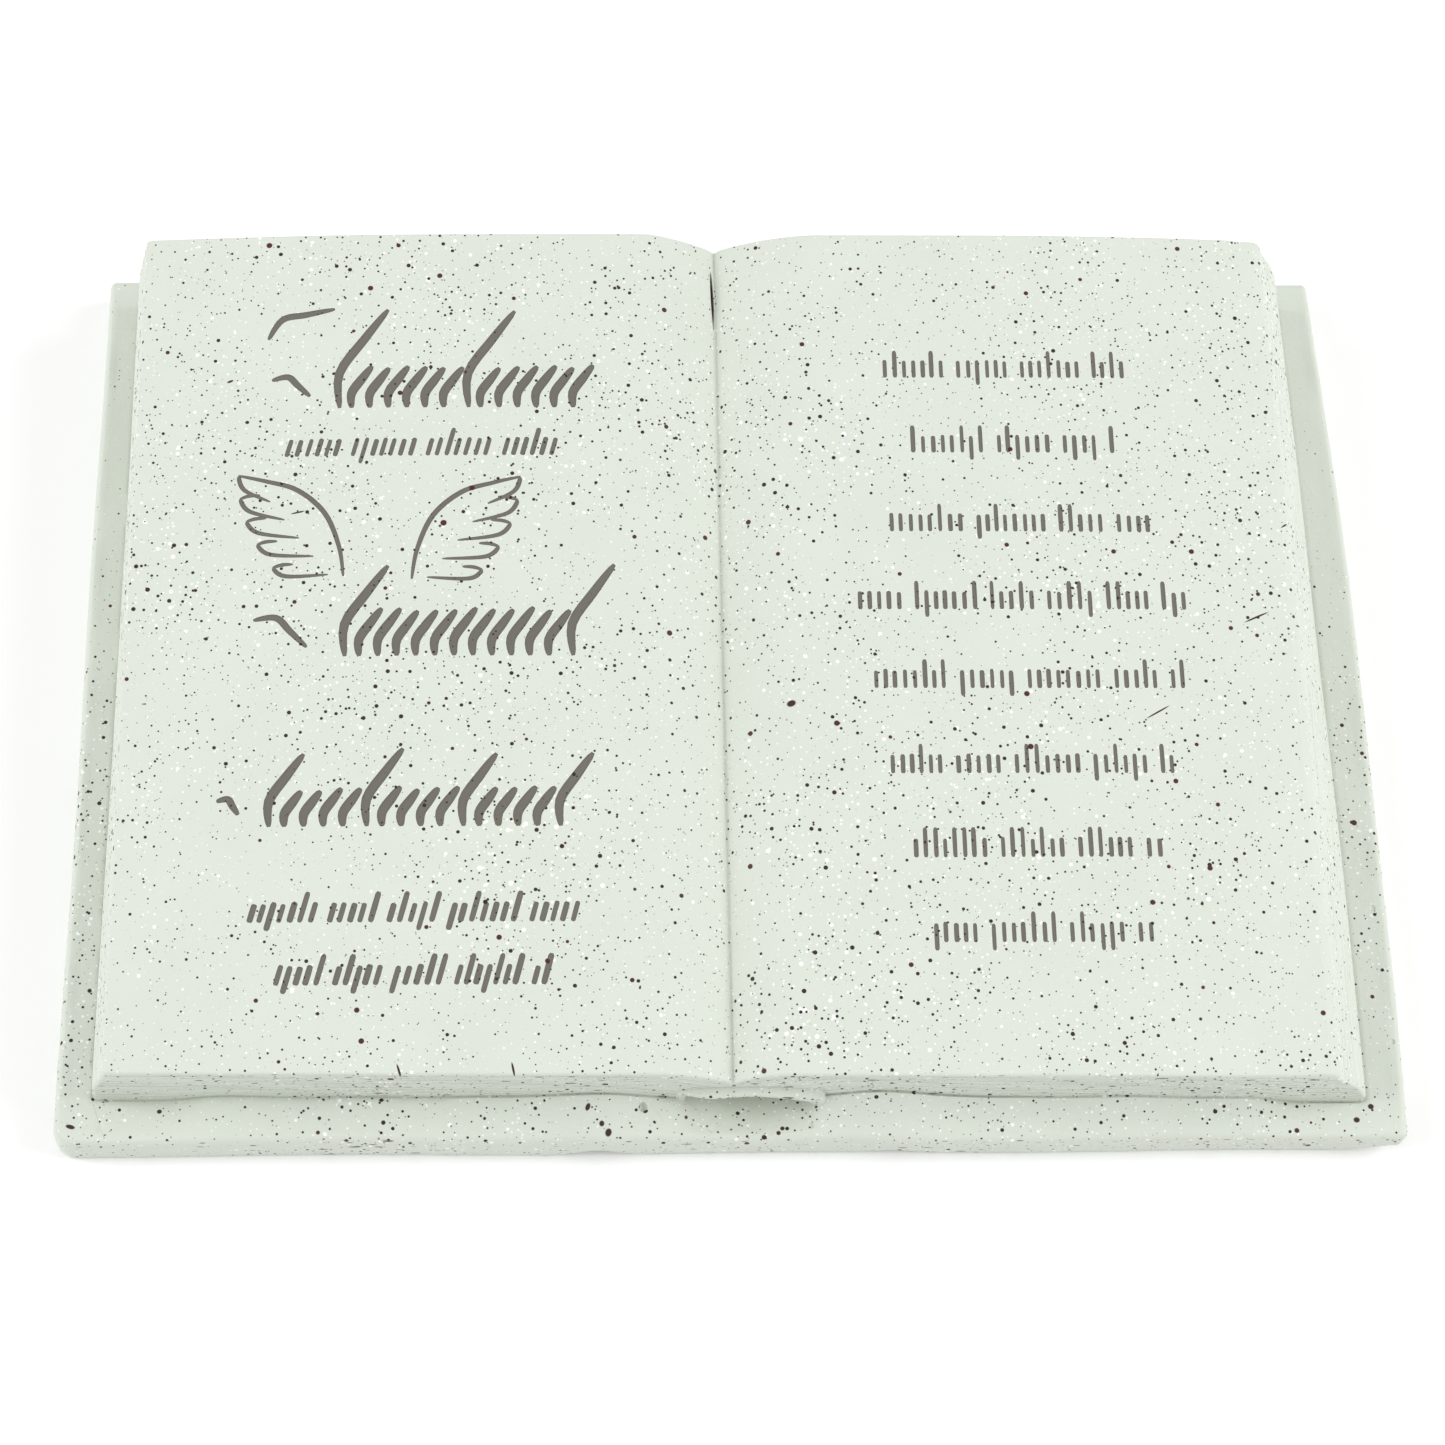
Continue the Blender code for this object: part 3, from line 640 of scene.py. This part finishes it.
def brush_stroke(strokes, x, y, high):
    """Leaning stroke that bends a little one way and back, thin at both ends."""
    points = [(x + (SCRIPT_LEAN * share + bend) * high, y + share * high) for share, bend in SCRIPT_BENDS]
    strokes.add(points, SCRIPT_WIDTH)


def script_row(strokes, rng, y, short, tall, start, end, cycle):
    """Row of leaning brush strokes at one pitch, every so many of them tall."""
    for k in range(1 + int((end - start) / SCRIPT_PITCH)):
        high = short if k % cycle else tall
        brush_stroke(strokes, start + k * SCRIPT_PITCH, y, high * rng.uniform(0.93, 1.04))


def swash(strokes, start, end, bow):
    """Long flat wave between two places: bows out by the given millimetres, then back."""
    start, end = np.array(start), np.array(end)
    along = (end - start) / np.linalg.norm(end - start)
    across = np.array((-along[1], along[0]))
    points = [tuple(mix(start, end, share) + across * bow * bend) for share, bend in SWASH_BENDS]
    strokes.add(points, SWASH_WIDTH, steps=FINE_STEPS)


def wing(strokes, root_x, root_y, side):
    """Spread wing in line: a bowed leading edge and pointed feathers below its tip."""

    def at(across, up):
        return (root_x + side * across, root_y + up)

    strokes.add([at(*point) for point in WING_EDGE], WING_EDGE_WIDTH, steps=FINE_STEPS)
    for k in range(FEATHERS):
        share = k / (FEATHERS - 1)
        tip = mix(TOP_FEATHER[0], LOW_FEATHER[0], np.array((share ** 2, share)))
        root = mix(TOP_FEATHER[1], LOW_FEATHER[1], share)
        belly = mix(tip, root, 0.3) + FEATHER_BELLY
        strokes.add([at(*tip), at(*belly), at(*root)], FEATHER_WIDTH, steps=FINE_STEPS, thin=0.3, swell=0.3)
        if k > 0:
            strokes.add([at(*tip)] + [at(*(tip + end)) for end in BARB_ENDS], BARB_WIDTH)


def inscription():
    rng = random.Random(STROKE_SEED)
    strokes = Strokes()
    for y, length in zip(RIGHT_ROW_FEET, RIGHT_ROW_LENGTHS):
        text_row(strokes, rng, RIGHT_ROW_X, y, length, UPRIGHT_WIDTH, 0.0)
    for row in LEANING_ROWS:
        text_row(strokes, rng, *row)
    for row in SCRIPT_ROWS:
        script_row(strokes, rng, *row)
    for wave in SWASHES:
        swash(strokes, *wave)
    for root in WING_ROOTS:
        wing(strokes, *root)
    return strokes


def srgb(hex_colour):
    """An sRGB hex colour as linear RGBA."""
    parts = [int(hex_colour[k:k + 2], 16) / 255 for k in (1, 3, 5)]
    linear = [p / 12.92 if p <= 0.04045 else ((p + 0.055) / 1.055) ** 2.4 for p in parts]
    return (*linear, 1.0)


# Sprayed dots: spacing, smallest and largest radius and soft edge in millimetres, colour, stretch
# of the pattern's axes, whether they also show on the grey paint, and whether only on steep faces
Speckle = namedtuple("Speckle", "label cell small large soft colour stretch on_paint steep")
ROUND = (1.0, 1.0, 1.0)
LONG_DASH = (0.25, 0.25, 1.0)
SHORT_DASH = (0.2, 0.2, 1.0)
SPECKLES = (
    Speckle("white mist", 0.85, 0.05, 0.26, 0.10, "#eef2ec", ROUND, False, False),
    Speckle("white dots", 2.3, 0.18, 0.44, 0.16, "#f4f6f2", ROUND, False, False),
    Speckle("grey mist", 0.95, 0.05, 0.15, 0.05, "#6b6856", ROUND, True, False),
    Speckle("small dark dots", 1.08, 0.10, 0.24, 0.05, "#211812", ROUND, True, False),
    Speckle("brown dots", 1.9, 0.17, 0.37, 0.05, "#29130d", ROUND, True, False),
    Speckle("large red-brown dots", 6.0, 0.34, 0.56, 0.08, "#43150d", ROUND, True, False),
    Speckle("brown dashes in the page lines", 1.15, 0.06, 0.26, 0.06, "#5d4732", LONG_DASH, False, True),
    Speckle("grey dashes in the page lines", 0.72, 0.05, 0.13, 0.05, "#6f6e62", SHORT_DASH, False, True),
)

# Stray fibres and blots of brown paint, and painted shade in a chip and along the gutter slit: place,
# length, width in millimetres and turn in degrees
BLOTS_AND_PAINTED_SHADE = (
    (83.3, 3.5, 4.5, 0.32, 25),
    (66.5, -12.7, 4.4, 0.28, 30),
    (-78.9, 45.0, 1.1, 0.42, 22),
    (-67.4, 21.5, 2.3, 0.30, 13),
    (-50.0, -69.4, 2.3, 0.36, -72),
    (-33.2, -69.2, 2.2, 0.36, -78),
    (-22.1, -71.7, 1.1, 0.7, 60),
    (-20.0, -73.8, 0.8, 0.8, 0),
    (-19.0, -75.0, 1.2, 1.0, 70),
    # painted shade in the chip at the front strip, drawn as a dark blot
    (-13.4, -72.1, 0.8, 0.5, 20),
    (89.2, 19.6, 1.4, 0.30, 39),
    (90.0, 2.4, 0.9, 0.34, 13),
    (9.6, -11.2, 1.5, 1.1, 20),
    (-99.7, -73.5, 1.5, 0.7, -15),
    (-86.5, -71.2, 0.8, 0.7, 0),
    (6.7, -74.9, 0.7, 0.7, 0),
    (7.3, -74.2, 0.7, 0.7, 0),
    (97.1, -71.4, 0.95, 0.9, 0),
    (94.7, -73.5, 1.0, 0.9, 0),
    # painted shade: a dark line along the gutter slit
    (-1.0, 62.5, 10.0, 0.42, 92),
)
# dark brown of the blots, also used for the painted shade
BLOT_AND_SHADE_COLOUR = "#33190f"
BLOT_AND_SHADE_DEPTH = 1.5

# Dots stay small on the cover strips below this height and behind this place
SHELTER_TOP = 8.4
SHELTER_FRONT = -5.0
SHELTER_FADE = 55.0
SHELTERED_SIZE = 0.5
DRIFT_SIZE = 24
CLOUD_SIZE = 14
GRAIN_SIZE = 0.9
RESIN_LIGHT, RESIN_SHADE = "#d5dbd0", "#cdd3c8"
PAINT_LIGHT, PAINT_SHADE = "#6e6b62", "#67645a"


def speckle_mask(tree, place, speckle, index, crowd, steep):
    """One class of dots as a mask: spheres about scattered points, cut by the surface."""
    shift = add_node(
        tree,
        "ShaderNodeVectorMath",
        {"operation": "MULTIPLY_ADD", 1: speckle.stretch, 2: (0.37 * index, 0.11 * index, 0.23)},
        {0: place},
    )
    dots = add_node(
        tree,
        "ShaderNodeTexVoronoi",
        {"label": speckle.label, "Scale": 1 / (speckle.cell * MM)},
        {"Vector": shift.outputs[0]},
    )
    chance = add_node(tree, "ShaderNodeSeparateColor", links={0: dots.outputs["Color"]})
    small, large = speckle.small / speckle.cell, speckle.large / speckle.cell
    size = add_node(
        tree, "ShaderNodeMapRange", {"To Min": small, "To Max": large}, {"Value": chance.outputs[0]}
    )
    reach = add_node(
        tree, "ShaderNodeMath", {"operation": "MULTIPLY"}, {0: size.outputs[0], 1: crowd}
    )
    inside = add_node(
        tree, "ShaderNodeMath", {"operation": "SUBTRACT"}, {0: reach.outputs[0], 1: dots.outputs["Distance"]}
    )
    mask = add_node(
        tree, "ShaderNodeMapRange", {"From Max": speckle.soft / speckle.cell}, {"Value": inside.outputs[0]}
    ).outputs[0]
    if speckle.steep:
        mask = add_node(tree, "ShaderNodeMath", {"operation": "MULTIPLY"}, {0: mask, 1: steep}).outputs[0]
    return mask


def blot_and_shade_mask(tree, place):
    """The stray fibres, blots and painted shade as one mask, each a long or round oval seen from above."""
    nearest = None
    for x, y, length, width, turn_deg in BLOTS_AND_PAINTED_SHADE:
        on_page = PAGE_BOX[0] < x < PAGE_BOX[1] and PAGE_BOX[2] < y < PAGE_BOX[3]
        height = float((page_height if on_page else cover_top)(np.array(x), np.array(y)))
        oval = add_node(
            tree,
            "ShaderNodeMapping",
            {
                "vector_type": "TEXTURE",
                "Location": ((x + CENTRING) * MM, y * MM, height * MM),
                "Rotation": (0.0, 0.0, math.radians(turn_deg)),
                "Scale": (length / 2 * MM, width / 2 * MM, BLOT_AND_SHADE_DEPTH * MM),
            },
            {"Vector": place},
        )
        from_middle = add_node(tree, "ShaderNodeVectorMath", {"operation": "LENGTH"}, {0: oval.outputs[0]})
        reach = from_middle.outputs[1]
        if nearest is None:
            nearest = reach
        else:
            nearest = add_node(
                tree, "ShaderNodeMath", {"operation": "MINIMUM"}, {0: nearest, 1: reach}
            ).outputs[0]
    return add_node(
        tree, "ShaderNodeMapRange", {"From Min": 1.1, "From Max": 0.8}, {"Value": nearest}
    ).outputs[0]


def crowding(tree, place):
    """How large the dots come out: in drifts on the pages, small on the sheltered cover strips."""
    patch = add_node(
        tree, "ShaderNodeTexNoise", {"Scale": 1 / (DRIFT_SIZE * MM), "Detail": 2.0}, {"Vector": place}
    )
    drift = add_node(
        tree,
        "ShaderNodeMapRange",
        {"From Min": 0.35, "From Max": 0.65, "To Min": 0.75, "To Max": 1.12},
        {"Value": patch.outputs[0]},
    )
    parts = add_node(tree, "ShaderNodeSeparateXYZ", links={0: place})
    high = add_node(
        tree,
        "ShaderNodeMapRange",
        {"From Min": (SHELTER_TOP - 1) * MM, "From Max": SHELTER_TOP * MM},
        {"Value": parts.outputs["Z"]},
    )
    near = add_node(
        tree,
        "ShaderNodeMapRange",
        {"From Min": (SHELTER_FRONT + SHELTER_FADE) * MM, "From Max": SHELTER_FRONT * MM},
        {"Value": parts.outputs["Y"]},
    )
    open_to_spray = add_node(
        tree, "ShaderNodeMath", {"operation": "MAXIMUM"}, {0: high.outputs[0], 1: near.outputs[0]}
    )
    shelter = add_node(
        tree, "ShaderNodeMapRange", {"To Min": SHELTERED_SIZE}, {"Value": open_to_spray.outputs[0]}
    )
    return add_node(
        tree, "ShaderNodeMath", {"operation": "MULTIPLY"}, {0: drift.outputs[0], 1: shelter.outputs[0]}
    ).outputs[0]


def steepness(tree):
    """One on upright faces, none on those that face up."""
    normal = add_node(tree, "ShaderNodeNewGeometry").outputs["Normal"]
    parts = add_node(tree, "ShaderNodeSeparateXYZ", links={0: normal})
    upward = add_node(tree, "ShaderNodeMath", {"operation": "ABSOLUTE"}, {0: parts.outputs["Z"]})
    return add_node(
        tree, "ShaderNodeMapRange", {"From Min": 0.6, "From Max": 0.35}, {"Value": upward.outputs[0]}
    ).outputs[0]


def speckled(name, light, shade, roughness, bump_height, painted=False):
    """Resin cast in a mould and sprayed with dots of paint, with painted shade in a chip and along the
    gutter slit; matt, faintly mottled.
    """
    material = bpy.data.materials.new(name)
    material.use_nodes = True
    tree = material.node_tree
    shader = tree.nodes["Principled BSDF"]
    shader.inputs["Roughness"].default_value = roughness
    shader.inputs["IOR"].default_value = 1.5
    place = add_node(tree, "ShaderNodeTexCoord").outputs["Object"]
    cloud = add_node(
        tree,
        "ShaderNodeTexNoise",
        {"Scale": 1 / (CLOUD_SIZE * MM), "Detail": 4.0, "Roughness": 0.6},
        {"Vector": place},
    )
    tone = add_node(
        tree, "ShaderNodeMix", {"data_type": "RGBA", 6: srgb(shade), 7: srgb(light)}, {0: cloud.outputs[0]}
    ).outputs[2]
    crowd = crowding(tree, place)
    steep = steepness(tree)
    layers = []
    for index, speckle in enumerate(SPECKLES):
        if speckle.on_paint or not painted:
            layers.append((speckle_mask(tree, place, speckle, index, crowd, steep), speckle.colour))
    # fibres and blots of brown paint, with painted shade in a chip and along the gutter slit
    layers.append((blot_and_shade_mask(tree, place), BLOT_AND_SHADE_COLOUR))
    for mask, colour in layers:
        tone = add_node(
            tree, "ShaderNodeMix", {"data_type": "RGBA", 7: srgb(colour)}, {0: mask, 6: tone}
        ).outputs[2]
    tree.links.new(tone, shader.inputs["Base Color"])
    grain = add_node(
        tree, "ShaderNodeTexNoise", {"Scale": 1 / (GRAIN_SIZE * MM), "Detail": 3.0}, {"Vector": place}
    )
    relief = add_node(
        tree, "ShaderNodeBump", {"Strength": 1.0, "Distance": bump_height * MM}, {"Height": grain.outputs[0]}
    )
    tree.links.new(relief.outputs[0], shader.inputs["Normal"])
    return material


def combine(body, other, operation, crossing=False):
    """Joins another solid to the body or cuts it away, and leaves a plain mesh."""
    modifier = body.modifiers.new(other.name, "BOOLEAN")
    modifier.operation = operation
    modifier.solver = "EXACT"
    modifier.use_self = crossing
    modifier.material_mode = "TRANSFER"
    modifier.object = other
    graph = bpy.context.evaluated_depsgraph_get()
    data = bpy.data.meshes.new_from_object(body.evaluated_get(graph))
    body.modifiers.clear()
    body.data = data
    bpy.data.objects.remove(other, do_unlink=True)


def arch_lip():
    """Arched lip over the spine: rounded, flat at its left end and thicker towards its right."""
    root = FOOT_BOX[2] + BLOCK_SET_BACK / 2
    rings = []
    for k in range(LIP_STEPS + 1):
        share = k / LIP_STEPS
        turn = math.pi * (1 - share)
        lug = LUG_DROP * float(clamp((share - LUG_START) / (1 - LUG_START)))
        wobble = LIP_WOBBLE * math.sin(turn * 5)
        front = root - ARCH_STAND_OUT * mix(LIP_TAPER, 1.0, float(ease(share / LIP_TAPER_END)))
        outer = np.array((ARCH_HALF_SPAN * math.cos(turn), mix(ARCH_FOOT, ARCH_RISE, math.sin(turn))))
        inner = outer * np.array((1 - ARCH_THICK / ARCH_HALF_SPAN, 1.0)) - np.array((0.0, LIP_THICK + lug))
        points = []
        for inward, back in LIP_PROFILE:
            x, z = mix(outer, inner, inward)
            points.append(Vector((ARCH_X + x, front + back + wobble * (back < 1), COVER_THICK + z)) * MM)
        rings.append(points)
    sunk = Vector((0, 0, -LIP_SUNK * MM))
    rings = [[p + sunk for p in rings[0]]] + rings + [[p + sunk for p in rings[-1]]]
    mesh = bmesh.new()
    loops = [[mesh.verts.new(point) for point in ring] for ring in rings]
    count = len(LIP_PROFILE)
    for low, high in zip(loops, loops[1:]):
        for k in range(count):
            after = (k + 1) % count
            mesh.faces.new((low[k], high[k], high[after], low[after]))
    mesh.faces.new(loops[0])
    mesh.faces.new(loops[-1][::-1])
    bmesh.ops.recalc_face_normals(mesh, faces=mesh.faces[:])
    return mesh_object("arch_lip", mesh)


def corner_cut():
    """Cutter below the plane that rises to the cover's front right corner."""
    right, front = COVER_BOX[1], COVER_BOX[2]
    outline = (
        (right - CORNER_CUT_WIDTH, front - CUT_CLEAR, 0.0),
        (right + CUT_CLEAR, front - CUT_CLEAR, CORNER_CUT_HEIGHT),
        (right + CUT_CLEAR, front + CORNER_CUT_DEPTH, 0.0),
    )
    mesh = bmesh.new()
    low = [mesh.verts.new(Vector((x, y, -CUT_CLEAR)) * MM) for x, y, z in outline]
    high = [mesh.verts.new(Vector(point) * MM) for point in outline]
    mesh.faces.new(low[::-1])
    mesh.faces.new(high)
    for k in range(3):
        after = (k + 1) % 3
        mesh.faces.new((low[k], low[after], high[after], high[k]))
    bmesh.ops.recalc_face_normals(mesh, faces=mesh.faces[:])
    return mesh_object("corner_cut", mesh)


def blemishes():
    """Round cutters for the bubbles, chips and dents of the cover."""
    mesh = bmesh.new()
    for x, y, radius, depth in PITS:
        z = float(cover_top(np.array(x), np.array(y)))
        flat = Matrix.Diagonal((radius * MM, radius * MM, depth * MM, 1))
        shape = Matrix.Translation(Vector((x, y, z)) * MM) @ flat
        bmesh.ops.create_icosphere(mesh, subdivisions=2, radius=1.0, matrix=shape)
    return mesh_object("blemishes", mesh)


def build_book():
    # Gives the eye a pale, slightly green stone look: matt, with dark, red-brown and white dots
    resin = speckled("cast_resin_stone_effect", RESIN_LIGHT, RESIN_SHADE, 0.6, 0.05)
    # Gives the eye flat warm grey strokes that a few dark dots cross
    paint = speckled("grey_paint_in_strokes", PAINT_LIGHT, PAINT_SHADE, 0.7, 0.03, painted=True)
    book = build_casting()
    book.data.materials.append(resin)
    lip = arch_lip()
    lip.data.materials.append(resin)
    combine(book, lip, "UNION")
    corner = corner_cut()
    corner.data.materials.append(resin)
    combine(book, corner, "DIFFERENCE")
    pits = blemishes()
    pits.data.materials.append(resin)
    combine(book, pits, "DIFFERENCE")
    creases = Strokes()
    for points in COVER_CREASES:
        creases.add(points, COVER_CREASE_WIDTH)
    combine(book, grooves("creases", creases, cover_top, resin, 1.2), "DIFFERENCE")
    slit = Strokes()
    slit.add(GUTTER_SLIT, GUTTER_SLIT_WIDTH)
    combine(book, grooves("gutter_slit", slit, page_height, resin, 2.5), "DIFFERENCE")
    rows = grooves("inscription", inscription(), page_height, paint, 0.45)
    combine(book, rows, "DIFFERENCE", crossing=True)
    book.data.transform(Matrix.Translation((CENTRING * MM, 0.0, 0.0)))
    book.name = "open_book_casting"
    book.data.name = book.name
    for face in book.data.polygons:
        face.use_smooth = True
    book.data.set_sharp_from_angle(angle=math.radians(50))
    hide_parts("open_book")
    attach(book, "root")
    return book


# Stage in metres and watts: softbox name, place and power
FLOOR_HALF_WIDTH = 6.0
FLOOR_GREY = 0.97
WORLD_STRENGTH = 0.68
SOFTBOX_SIZE = 0.9
SOFTBOXES = (
    ("left_softbox", (-1.2, 0.0, 0.9), 9.8),
    ("right_softbox", (1.2, 0.0, 0.9), 10.4),
    ("front_softbox", (0.6, -1.1, 0.9), 0.9),
)


def build_floor():
    """Plain matt paper sweep, nearly white."""
    mesh = bmesh.new()
    bmesh.ops.create_grid(mesh, x_segments=1, y_segments=1, size=FLOOR_HALF_WIDTH)
    floor = mesh_object("floor", mesh)
    material = bpy.data.materials.new("pale_floor")
    material.use_nodes = True
    shader = material.node_tree.nodes["Principled BSDF"]
    shader.inputs["Base Color"].default_value = (FLOOR_GREY, FLOOR_GREY, FLOOR_GREY, 1.0)
    shader.inputs["Roughness"].default_value = 0.9
    floor.data.materials.append(material)


def softbox(name, place, watts):
    """Round lamp that faces the middle of the ground."""
    data = bpy.data.lights.new(name, "AREA")
    data.shape = "DISK"
    data.size = SOFTBOX_SIZE
    data.energy = watts
    lamp = bpy.data.objects.new(name, data)
    lamp.location = place
    lamp.rotation_euler = (-Vector(place)).to_track_quat("-Z", "Y").to_euler()
    bpy.context.scene.collection.objects.link(lamp)


def build_light():
    world = bpy.data.worlds.new("studio")
    world.use_nodes = True
    background = world.node_tree.nodes["Background"]
    background.inputs["Color"].default_value = (1.0, 1.0, 1.0, 1.0)
    background.inputs["Strength"].default_value = WORLD_STRENGTH
    bpy.context.scene.world = world
    for lamp in SOFTBOXES:
        softbox(*lamp)


# Camera fitted to the photograph's corners: millimetres and degrees
SENSOR_WIDTH = 36.0
IMAGE_SIZE = 1445
CAMERA_FOCAL_PX = 3179.0
CAMERA_DOWN_DEG = 65.16
CAMERA_YAW_DEG = 4.36
CAMERA_ROLL_DEG = 3.88
CAMERA_SET = (11.43, -3.32, 517.0)
IMAGE_CENTRE_X = 650.0


def build_camera():
    """Rows of the rotation are the camera's right, down and forward in the book's frame."""
    down = math.radians(CAMERA_DOWN_DEG)
    forward = Vector((0, math.cos(down), -math.sin(down)))
    right = Vector((1, 0, 0))
    rows = Matrix((right, forward.cross(right), forward))
    spin = Matrix.Rotation(math.radians(CAMERA_YAW_DEG), 3, "Z")
    turn = Matrix.Rotation(math.radians(CAMERA_ROLL_DEG), 3, "Z")
    rows = turn @ rows @ spin
    eye = Vector((CENTRING, 0, 0)) - rows.transposed() @ Vector(CAMERA_SET)
    data = bpy.data.cameras.new("camera")
    data.sensor_width = SENSOR_WIDTH
    data.lens = CAMERA_FOCAL_PX * data.sensor_width / IMAGE_SIZE
    data.shift_x = (IMAGE_SIZE / 2 - IMAGE_CENTRE_X) / IMAGE_SIZE
    data.clip_start = 0.01
    camera = bpy.data.objects.new("camera", data)
    axes = Matrix((rows[0], -Vector(rows[1]), -Vector(rows[2]))).transposed().to_4x4()
    camera.matrix_world = Matrix.Translation(eye * MM) @ axes
    bpy.context.scene.collection.objects.link(camera)
    bpy.context.scene.camera = camera


bpy.context.scene.view_settings.view_transform = "Standard"
build_book()
build_floor()
build_light()
build_camera()
